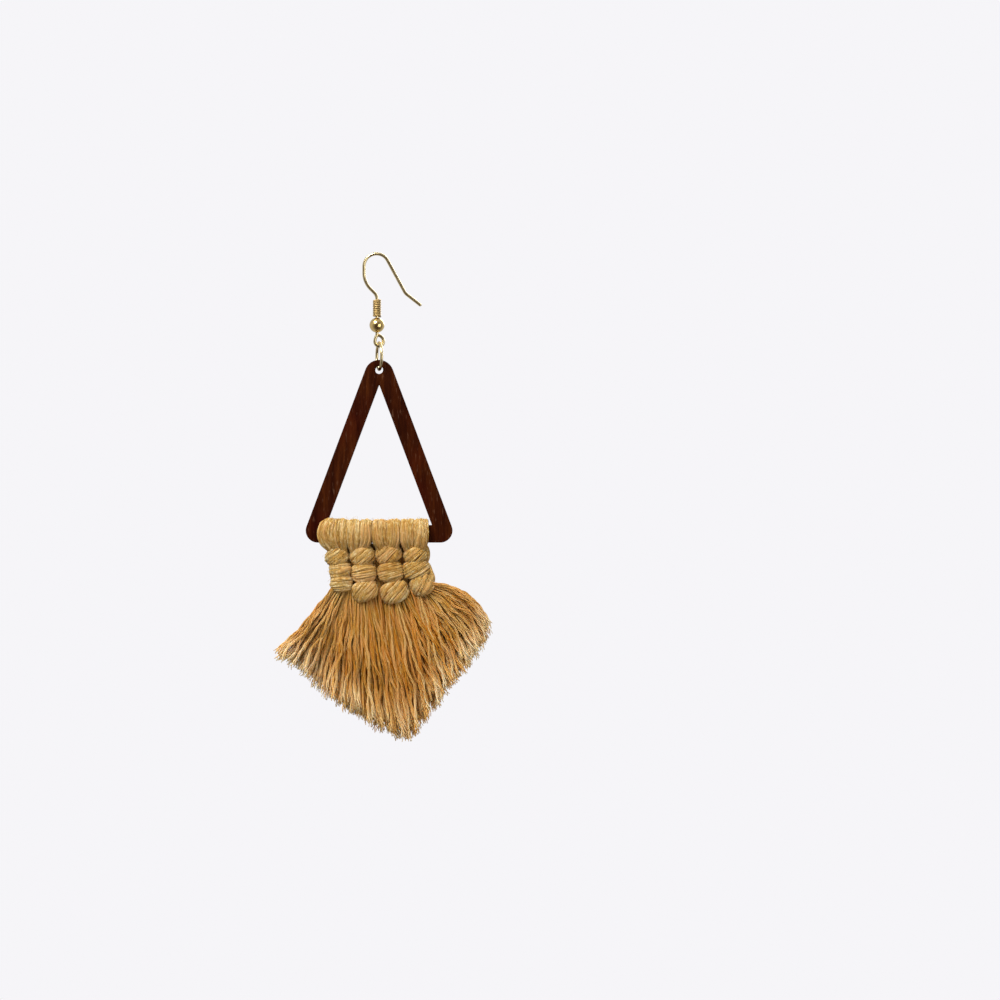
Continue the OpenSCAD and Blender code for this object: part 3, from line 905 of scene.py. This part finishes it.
def hitch_way(h, begin):
    """Sections of one hitch, a closed ring that starts at the angle begin, seen from above."""
    lean = math.radians(h.lean)
    side = Vector((math.cos(lean), 0, math.sin(lean)))
    up = Vector((-math.sin(lean), 0, math.cos(lean)))
    back = Vector((0, 1, 0))
    wide = column_w * h.wide / 2 - HITCH_THICK
    deep = HITCHES_T / 2 - HITCH_THICK
    tall = HITCHES_H / 3 * h.tall / 2
    rows = []
    # Tallest in front and behind, and thickest in front
    for k in range(HITCH_SECTIONS):
        a = 2 * math.pi * k / HITCH_SECTIONS + begin
        out = side * math.cos(a) + back * math.sin(a)
        front = max(0.0, -math.sin(a))
        rows.append((
            hitch_middle(h) + side * wide * math.cos(a) + back * deep * math.sin(a),
            up * tall * (h.ends + (1 - h.ends) * abs(math.sin(a)) ** 0.8),
            out * HITCH_THICK * (0.95 + 0.15 * front),
        ))
    return rows


# %% Tie the hitches
HITCH_LAYERS = [
    {"count": 27, "lift": 0.24},
    {"count": 7, "size": 2.5, "depth": 0.5},
]
HITCH_FIBRES = 90


def hitched_cord(number, rows):
    rng = chances("hitches", number)
    strands, fibres = [], []
    begin = 0 if number < COLUMNS else math.pi
    for h in rows:
        way = smooth_way(hitch_way(h, begin), count=34, closed=True)
        way.append(way[0])
        strands += layered(rng, way, HITCH_LAYERS, turns=h.turns)
        fibres += loose_fibres(rng, way, HITCH_FIBRES)
    return cord_mesh(strands, fibres)


hitched = [hitched_cord(i + 1, rows) for i, rows in enumerate(HITCHES)]
print("hitches", [len(h.data.polygons) for h in hitched])

# %% [markdown]
# Inside the hitches runs the core that they are tied round. It shows in the gaps between two hitches
# and fills the knots from behind, so it is a fat bundle of yarns from the bar down to the neck. Its
# yarns are painted darker than the hitches, as painted shade in those gaps.

# %% Lay the cores
CORE_R = HITCHES_T * 0.34
CORE_END = 1.5 * MM
# Both layers are painted darker, as painted shade in the gaps between hitches
CORE_LAYERS = [
    {"count": 21, "size": 1.15, "turns": 0.2, "dim": 0.4},
    {"count": 8, "size": 2.5, "turns": 0.2, "depth": 1.8, "dim": 0.7},
]


def core(number, rows):
    middles = [hitch_middle(h) for h in rows]
    top = Vector((middles[0].x, 0, bar_foot - CORE_R * 0.8))
    low = middles[2] + (middles[2] - middles[1]).normalized() * CORE_END
    sections = [(p, Vector((-CORE_R, 0, 0)), Vector((0, -CORE_R, 0))) for p in (top, *middles, low)]
    way = smooth_way(sections, count=14, closed=False)
    return yarn_mesh(layered(chances("core", number), way, CORE_LAYERS))


cores = [core(i + 1, rows) for i, rows in enumerate(HITCHES)]
print("cores", [len(c.data.polygons) for c in cores])

# %% [markdown]
# The four columns are one fabric: the cord that each row is tied over runs on behind to the next
# column, and no light falls through. These crossings are simple bundles that lie behind each gap, and
# they are painted much darker, as painted shade in the gap. On the right edge the same cord turns, and
# it shows twice outside the hitches: from the bar to the second row, and from there down to the fan.
# Its inner yarns are painted darker, as painted shade.

# %% Lay the crossings and the turning strand
CROSS_W = 1.3 * MM
CROSS_T = 0.8 * MM
CROSS_BACK = 1.1 * MM
CROSS_TOP = 0.1 * MM
# Both layers are painted much darker, as painted shade in the gap
CROSS_LAYERS = [
    {"count": 16, "dim": 0.65},
    {"count": 5, "size": 2.1, "depth": 1.0, "dim": 0.95},
]
TURN_W = 0.5 * MM
TURN_T = 0.7 * MM
# The inner layer is painted darker, as painted shade
TURN_LAYERS = [
    {"count": 11},
    {"count": 3, "size": 2.1, "depth": 1.0, "dim": 0.3},
]
# Across from the knots' right edge, back from the middle and up from the cords' low edge, in mm
TURN_WAYS = [
    [(-1.7, -0.8, 1.2), (-0.6, -0.7, 0.3), (-0.15, -0.5, -0.9), (-0.3, 0.1, -2.1), (-0.9, 0.9, -3.0)],
    [(-0.7, 0.9, -3.0), (0.1, 0.3, -3.9), (0.65, -0.2, -5.2), (0.75, -0.3, -6.4), (0.4, 0.3, -7.9)],
]


def bundle_way(points, wide, thick, count):
    """Sections along points, wide across the way and thick from front to back."""
    sections = []
    for k, point in enumerate(points):
        ahead = points[min(k + 1, len(points) - 1)] - points[max(k - 1, 0)]
        arm = ahead.cross(Vector((0, 1, 0))).normalized()
        sections.append((point, arm * wide, arm.cross(ahead).normalized() * thick))
    return smooth_way(sections, count, closed=False)


def crossing(number):
    """The bundle behind the gap between one column and the next."""
    head_edge = knots_left + KNOTS_W * HEADS[number - 1].right
    points = [Vector((head_edge, CROSS_BACK, bar_foot - CROSS_TOP))]
    for a, b in zip(HITCHES[number - 1], HITCHES[number]):
        point = (hitch_middle(a) + hitch_middle(b)) / 2
        points.append(point + Vector((0, CROSS_BACK, 0)))
    points.append(points[-1] + (points[-1] - points[-2]) * 0.25)
    way = bundle_way(points, CROSS_W, CROSS_T, count=18)
    return yarn_mesh(layered(chances("crossing", number), way, CROSS_LAYERS, turns=0.4))


def turning_strand(number, places):
    """A strand that comes round the right edge, forward and down."""
    points = [Vector((knots_left + KNOTS_W + x * MM, y * MM, wrap_low + z * MM)) for x, y, z in places]
    way = bundle_way(points, TURN_W, TURN_T, count=16)
    return yarn_mesh(layered(chances("turn", number), way, TURN_LAYERS, turns=0.35))


crossings = [[crossing(i + 1)] for i in range(COLUMNS - 1)]
crossings.append([turning_strand(i, places) for i, places in enumerate(TURN_WAYS)])
for i in range(COLUMNS):
    knot = join_pieces([heads[i], loops[i], hitched[i], cores[i]] + crossings[i])
    finish_piece(knot, f"knots_{i + 1}", knot_cotton, "drop")
    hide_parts(f"cord_{i + 1}")

# %% [markdown]
# ## The combed fan
# Below the knots the cords are combed out. Each yarn leaves the neck under its last hitch, spreads
# with its neighbours, and ends on one slanting cut. Yarns that were twisted together stay wavy and
# cling in small locks, with dark partings between them. So a lock is laid first, as a line from the
# neck to the cut, and its strings follow it, close at the neck and looser at the cut. A string is
# what is left of the cord: a few thin plies that still turn round each other.

# %% The cut and the spread of the fan
FAN_W = 44 * MM
FAN_L = 39 * MM
FAN_T = 6.0 * MM
# The cut from the left tip to the right, as shares of FAN_W from the left and of FAN_L downwards
CUT = [
    (-0.016, 0.55), (0.055, 0.6), (0.13, 0.655), (0.2, 0.73), (0.274, 0.79), (0.351, 0.855),
    (0.438, 0.915), (0.524, 0.962), (0.6, 0.995), (0.65, 0.95), (0.69, 0.865), (0.745, 0.79),
    (0.8, 0.71), (0.855, 0.645), (0.91, 0.58), (0.95, 0.51), (0.975, 0.435), (0.965, 0.38),
]
fan_lo, fan_hi = (Vector(c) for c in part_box("fringe"))
fan_left = (fan_lo.x + fan_hi.x) / 2 - FAN_W / 2


def cut_point(share):
    """The point of the cut at a share of its length."""
    points = [Vector((fan_left + FAN_W * a, 0, wrap_low - FAN_L * r)) for a, r in CUT]
    steps = [(b - a).length for a, b in zip(points, points[1:])]
    k, rest = step_at(steps, max(0.0, min(1.0, share)) * sum(steps))
    return points[k].lerp(points[k + 1], min(1.0, rest / steps[k]))


print("fan from", round(fan_left / MM, 1), "lowest", round((wrap_low - FAN_L) / MM, 1))

# %% [markdown]
# A lock starts inside the last hitch of its cord and runs to its own place on the cut.
# The locks on the right were combed out sideways and fall over in a bow, and those at the left tip
# have a slight one. The fan is thin at the neck and grows to its full depth on the way down.

# %% The line of one lock
# The part of the cut that the locks reach, the neck's spread and place in mm, the number of locks, and
# how much darker than usual the yarns are painted, as painted shade, or, below zero, how much paler,
# as painted light: the two flanks are painted paler to lift their shade
Neck = namedtuple("Neck", "cut spread shift locks dim")
NECKS = [
    Neck((0.0, 0.36), 1.8, (0.4, -1.0), 74, -0.5),
    Neck((0.26, 0.55), 1.8, (0.1, -0.9), 50, -0.06),
    Neck((0.46, 0.76), 1.8, (0.1, -0.9), 50, -0.06),
    Neck((0.64, 1.0), 1.7, (0.2, -1.1), 68, -0.45),
]
NECK_T = 2.2 * MM
RIGHT_BOW, RIGHT_FROM = 0.16, 0.7
LEFT_BOW, LEFT_TO = 0.05, 0.12
FULL_DEPTH_AT = 0.6


def lock_line(neck, middle, share, depth, from_share, back=0.0):
    """A function of 0 to 1 that gives the lock's line, its length, and the way across it."""
    cut_from, cut_to = neck.cut
    at = cut_from + (cut_to - cut_from) * share
    tip = cut_point(at)
    tip.y = depth * FAN_T / 2
    start = middle + Vector((neck.shift[0], 0, neck.shift[1])) * MM
    chord = tip - start
    across = Vector((-chord.z, 0, chord.x)).normalized()
    start = start + across * (from_share * 2 - 1) * neck.spread * MM
    start.y = depth * NECK_T / 2 + back
    chord = tip - start
    over = Vector((-chord.z, 0, chord.x))
    bow = RIGHT_BOW * max(0.0, (at - RIGHT_FROM) / (1 - RIGHT_FROM)) ** 1.3
    bow += LEFT_BOW * max(0.0, 1 - at / LEFT_TO)

    def line(t):
        point = start + chord * t + over * bow * 4 * t * (1 - t)
        swell = min(1.0, t / FULL_DEPTH_AT)
        point.y = start.y + (tip.y - start.y) * swell * swell * (3 - 2 * swell)
        return point

    return line, chord.length, over.normalized()


# %% [markdown]
# A string's plies turn round each other in a slow helix, tight at the neck and open at the end, where
# nothing holds them. Each ply ends at a slightly different length.

# %% Twist the plies of one string
PLIES = 3
PLY_R = 0.125 * MM
PLY_OFF = 0.155 * MM
PLY_PITCH = 6.0 * MM
PLY_POINTS = 26
# Tightness at the neck, and where along the string it ends, where the end opens, and where it thins
NECK_TIGHT, TIGHT_TO = 0.6, 0.35
OPEN_FROM, OPENING = 0.9, 1.6
THIN_FROM, THINNING = 0.85, 0.5


def combed_string(rng, centre, across, length, tone):
    """The plies of one string round the line that centre(t) gives for 0 to 1."""
    begin = rng.uniform(0, 2 * math.pi)
    strands = []
    for ply in range(PLIES):
        fat = PLY_R * rng.uniform(0.8, 1.2)
        own_end = 1 - abs(rng.gauss(0, 0.014))
        loose = wander(rng, 0.45, (1, 3, 5))
        points = []
        for k in range(PLY_POINTS):
            s = k / (PLY_POINTS - 1)
            t = s * own_end
            turn = begin + 2 * math.pi * (ply / PLIES + t * length / PLY_PITCH)
            tight = NECK_TIGHT + (1 - NECK_TIGHT) * min(1.0, t / TIGHT_TO)
            opened = OPENING * max(0.0, (s - OPEN_FROM) / (1 - OPEN_FROM))
            thinned = THINNING * max(0.0, (s - THIN_FROM) / (1 - THIN_FROM))
            off = PLY_OFF * tight * (1 + loose(t) + opened)
            point = centre(t) + across * off * math.cos(turn) + Vector((0, off * math.sin(turn), 0))
            points.append((point, fat * tight * (1 - thinned)))
        strands.append((points, tone + rng.uniform(-0.1, 0.1)))
    return strands


# %% [markdown]
# A lock's wave turns round its line like the twist that it kept, and each string adds a small wave of
# its own. Strings inside the fan are painted a little darker, as painted shade. Each lock also has one
# flyaway fibre.

# %% Comb the locks
LOCK_STRINGS = 2
LOCK_WAVE = (6.5 * MM, 11.0 * MM)
LOCK_SWAY = (0.1, 0.3)
LOCK_REACH = (0.96, 1.03)
STRING_SWAY = 0.38 * MM
STRING_SIDE = 0.34 * MM
STRING_WAVES = (2, 3, 6)


def string_line(rng, line, across, waves, phase, sway, reach):
    """One string's line beside the lock's, as a function of 0 to 1, and the share that it reaches."""
    angle = rng.uniform(0, 2 * math.pi)
    off = math.sqrt(rng.uniform(0.1, 1))
    own_sway = wander(rng, STRING_SWAY, STRING_WAVES)
    own_side = wander(rng, STRING_SIDE, STRING_WAVES)
    own_reach = reach * (1 - abs(rng.gauss(0, 0.03)))
    own_phase = phase + rng.gauss(0, 0.7)

    def centre(s):
        t = s * own_reach
        # The waves begin below the neck, and the string stands off more and more
        grip = min(1.0, 2.4 * t)
        spread = (0.2 + 0.5 * min(1.0, t / 0.3) + 0.4 * t * t) * MM
        turn = own_phase + 2 * math.pi * waves * t
        side = spread * off * math.cos(angle) + grip * (sway * math.cos(turn) + own_sway(t))
        deep = spread * off * math.sin(angle)
        deep += grip * (sway * 0.7 * math.sin(turn) + own_side(t))
        return line(t) + across * side + Vector((0, deep, 0))

    return centre, own_reach


def flyaway(rng, line):
    """A fine fibre that leaves the lock's line for a stretch."""
    begin, run = rng.uniform(0.2, 0.78), rng.uniform(0.08, 0.2)
    side = Vector((rng.gauss(0, 1), rng.gauss(0, 1), rng.gauss(0, 0.4))) * 0.5 * MM
    bend = Vector((rng.gauss(0, 1), rng.gauss(0, 1), 0)) * 0.4 * MM
    points = []
    for k in range(8):
        s = k / 7
        point = line(begin + run * s) + side * (0.5 + s) + bend * math.sin(3 * s)
        points.append((point, FIBRE_R * (1.5 - 0.8 * s)))
    return points, rng.uniform(0.4, 1.0)


def combed_locks(rng, neck, middle, back):
    """The strings and the fine fibres of a neck's locks, which leave the knots below middle."""
    depths = [-1 + 2 * (j + 0.5) / neck.locks for j in range(neck.locks)]
    rng.shuffle(depths)
    strands, fibres = [], []
    for j in range(neck.locks):
        share = (j + rng.uniform(0, 1)) / neck.locks
        from_share = max(0.0, min(1.0, share + rng.gauss(0, 0.12)))
        line, length, across = lock_line(neck, middle, share, depths[j], from_share, back)
        waves = length / rng.uniform(*LOCK_WAVE)
        phase = rng.uniform(0, 2 * math.pi)
        sway = rng.uniform(*LOCK_SWAY) * MM
        reach = rng.uniform(*LOCK_REACH)
        # Painted shade: the deeper a lock lies inside the fan, the darker its strings. The neck's
        # value then paints them darker still, as painted shade, or paler on the flanks, as painted
        # light
        inside = 0.25 * (1 - abs(depths[j]))
        lock_tone = rng.random()
        for _ in range(LOCK_STRINGS):
            centre, own_reach = string_line(rng, line, across, waves, phase, sway, reach)
            tone = lock_tone * 0.25 + rng.uniform(0, 0.85) - inside - neck.dim
            strands += combed_string(rng, centre, across, length * own_reach, tone)
        fibres.append(flyaway(rng, line))
    return strands, fibres


# %% [markdown]
# Locks alone would let light through where the real fan is thick with cotton. So plain strings,
# painted darker as painted shade, run down its middle, and a few extra locks, also painted darker as
# painted shade, fill the gap between one neck and the next.

# %% Comb out the four cords
INNER_STRINGS = 56
INNER_R = 0.28 * MM
INNER_POINTS = 16
GAP_LOCKS = 14
GAP_OVERLAP = 0.06
GAP_BACK = 0.7 * MM
# How much darker the gap's locks are painted, as painted shade
GAP_PAINTED_SHADE = 0.4


def inner_strings(rng, neck, middle, count, dim):
    """Count plain strings in the middle of the fan, painted darker than the locks as painted shade."""
    strands = []
    for j in range(count):
        share = (j + rng.uniform(0, 1)) / count
        line, _, across = lock_line(neck, middle, share, rng.uniform(-0.7, 0.5), share)
        sway = wander(rng, 0.4 * MM, (1, 2, 3))
        reach = rng.uniform(0.86, 0.95)
        points = []
        for k in range(INNER_POINTS):
            t = k / (INNER_POINTS - 1) * reach
            fat = INNER_R * (0.5 + 0.5 * min(1.0, t / 0.3))
            points.append((line(t) + across * sway(t) * min(1.0, t * 3), fat))
        # Painted shade: a low tone makes these strings darker than the locks
        strands.append((points, rng.uniform(-0.1, 0.5) - dim))
    return strands


def combed_cord(number):
    """One cord's part of the fan, with the locks that fill the gap on its right."""
    rng = chances("fan", number)
    neck = NECKS[number - 1]
    middle = hitch_middle(HITCHES[number - 1][2])
    strands, fibres = combed_locks(rng, neck, middle, back=0.0)
    strands += inner_strings(rng, neck, middle, INNER_STRINGS, neck.dim)
    if number < COLUMNS:
        gap = (middle + hitch_middle(HITCHES[number][2])) / 2
        cut = (NECKS[number].cut[0] - GAP_OVERLAP, neck.cut[1] + GAP_OVERLAP)
        between_necks = Neck(cut, 1.3, (0.2, -0.3), GAP_LOCKS, GAP_PAINTED_SHADE)
        strands += inner_strings(rng, between_necks, gap, GAP_LOCKS, dim=0.0)
        more = combed_locks(rng, between_necks, gap, GAP_BACK)
        strands += more[0]
        fibres += more[1]
    return cord_mesh(strands, fibres)


for i in range(COLUMNS):
    fan = combed_cord(i + 1)
    finish_piece(fan, f"fan_{i + 1}", fan_cotton, "drop")
    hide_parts("fringe")
